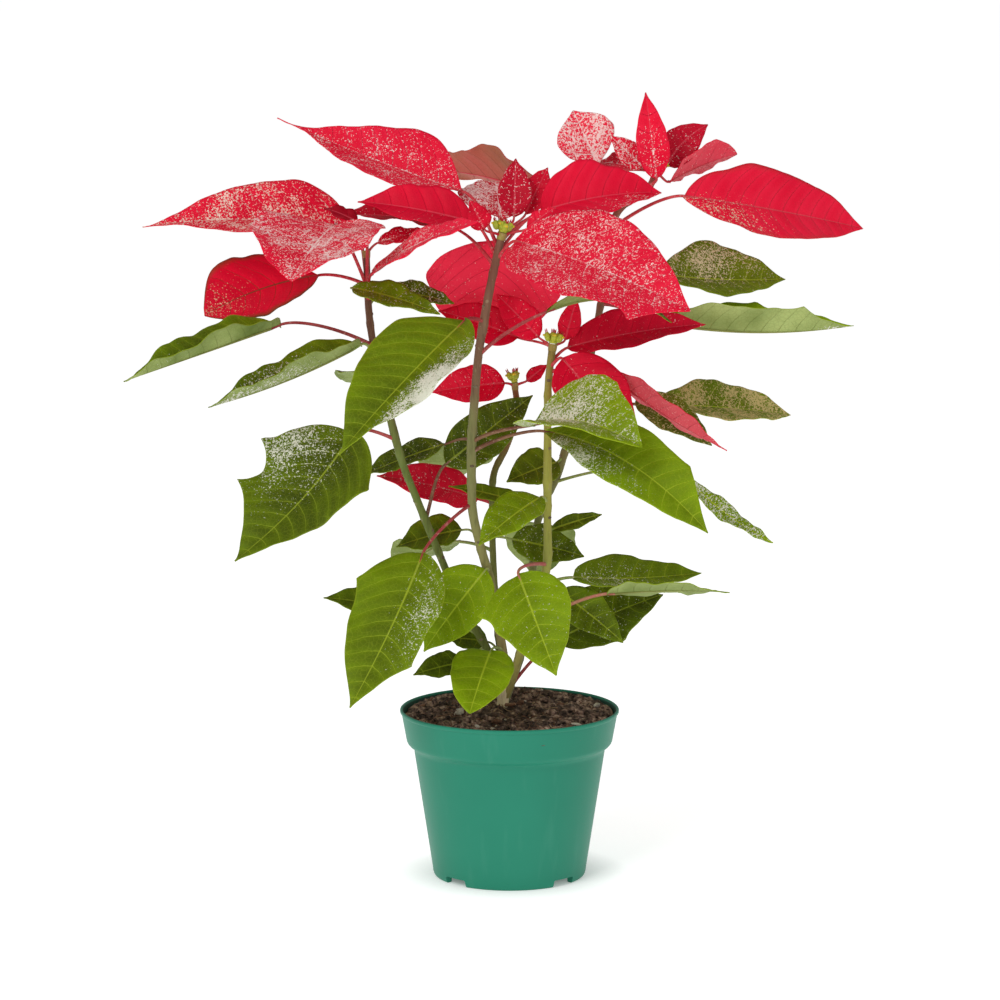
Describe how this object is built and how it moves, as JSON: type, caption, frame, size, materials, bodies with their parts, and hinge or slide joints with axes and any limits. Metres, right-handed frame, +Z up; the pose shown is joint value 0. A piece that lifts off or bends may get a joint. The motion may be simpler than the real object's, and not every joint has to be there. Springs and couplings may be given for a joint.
{
  "type": "potted poinsettia",
  "caption": "Poinsettia with red frosted bracts and dark green lobed leaves on branching woody stems, growing in peat in a tapered green plastic nursery pot.",
  "frame": {"origin": "centre of the plant's bounding box across, on the plane that the pot stands on; the pot's axis is within 3 mm of it", "axes": "+Z up along the pot's axis; -Y the side seen in the picture; +X to the right of that side, along the plant's spread"},
  "size_m": [0.5039, 0.2709, 0.5411],
  "materials": {
    "pot": "satin moulded polypropylene",
    "soil": "moist peat",
    "trunk": "ridged bark",
    "stem": "smooth green bark",
    "leaf": "soft green leaf",
    "bract": "soft red bract with pale frosting",
    "flower": "waxy yellow-green cups"
  },
  "bodies": {
    "root": {"pot": "pot", "soil": "soil", "trunk": "trunk", "stem_front": "stem", "stem_left": "stem", "stem_right": "stem", "stem_back": "stem", "stem_tall": "stem", "bract_front_right": "bract", "bract_upper_left": "bract", "bract_back": "bract", "bract_back_middle": "bract", "bract_right": "bract", "bract_curled": "bract", "bract_left_inner": "bract", "bract_hanging": "bract", "bract_low_right": "bract", "bract_drooping": "bract", "bract_low_far_right": "bract", "bract_far_left": "bract", "bract_left_front": "bract", "bract_left_middle": "bract", "bract_left_cross": "bract", "bract_left_low": "bract", "bract_far_right": "bract", "bract_upright": "bract", "bract_back_low": "bract", "leaf_left_long": "leaf", "leaf_left_second": "leaf", "leaf_left_lobed": "leaf", "leaf_frosted": "leaf", "leaf_right_gold": "leaf", "leaf_front_bright": "leaf", "leaf_inner_left": "leaf", "leaf_inner_right": "leaf", "leaf_right_long": "leaf", "leaf_right_broad": "leaf", "leaf_front_dark": "leaf", "leaf_right_low": "leaf", "leaf_right_pale": "leaf", "leaf_right_base": "leaf", "leaf_front_lobed": "leaf", "leaf_front_left": "leaf", "leaf_left_inner": "leaf", "leaf_back_right": "leaf", "leaf_back_middle": "leaf", "leaf_back_left": "leaf", "leaf_back_low": "leaf", "leaf_back_low_left": "leaf", "leaf_back_top": "leaf", "young_bracts_front": "bract", "young_bracts_right": "bract", "young_bracts_back": "bract", "young_bracts_left": "bract", "young_bracts_tall": "bract", "flowers_front": "flower", "flowers_right": "flower", "flowers_back": "flower", "flowers_tall": "flower"}
  },
  "joints": []
}
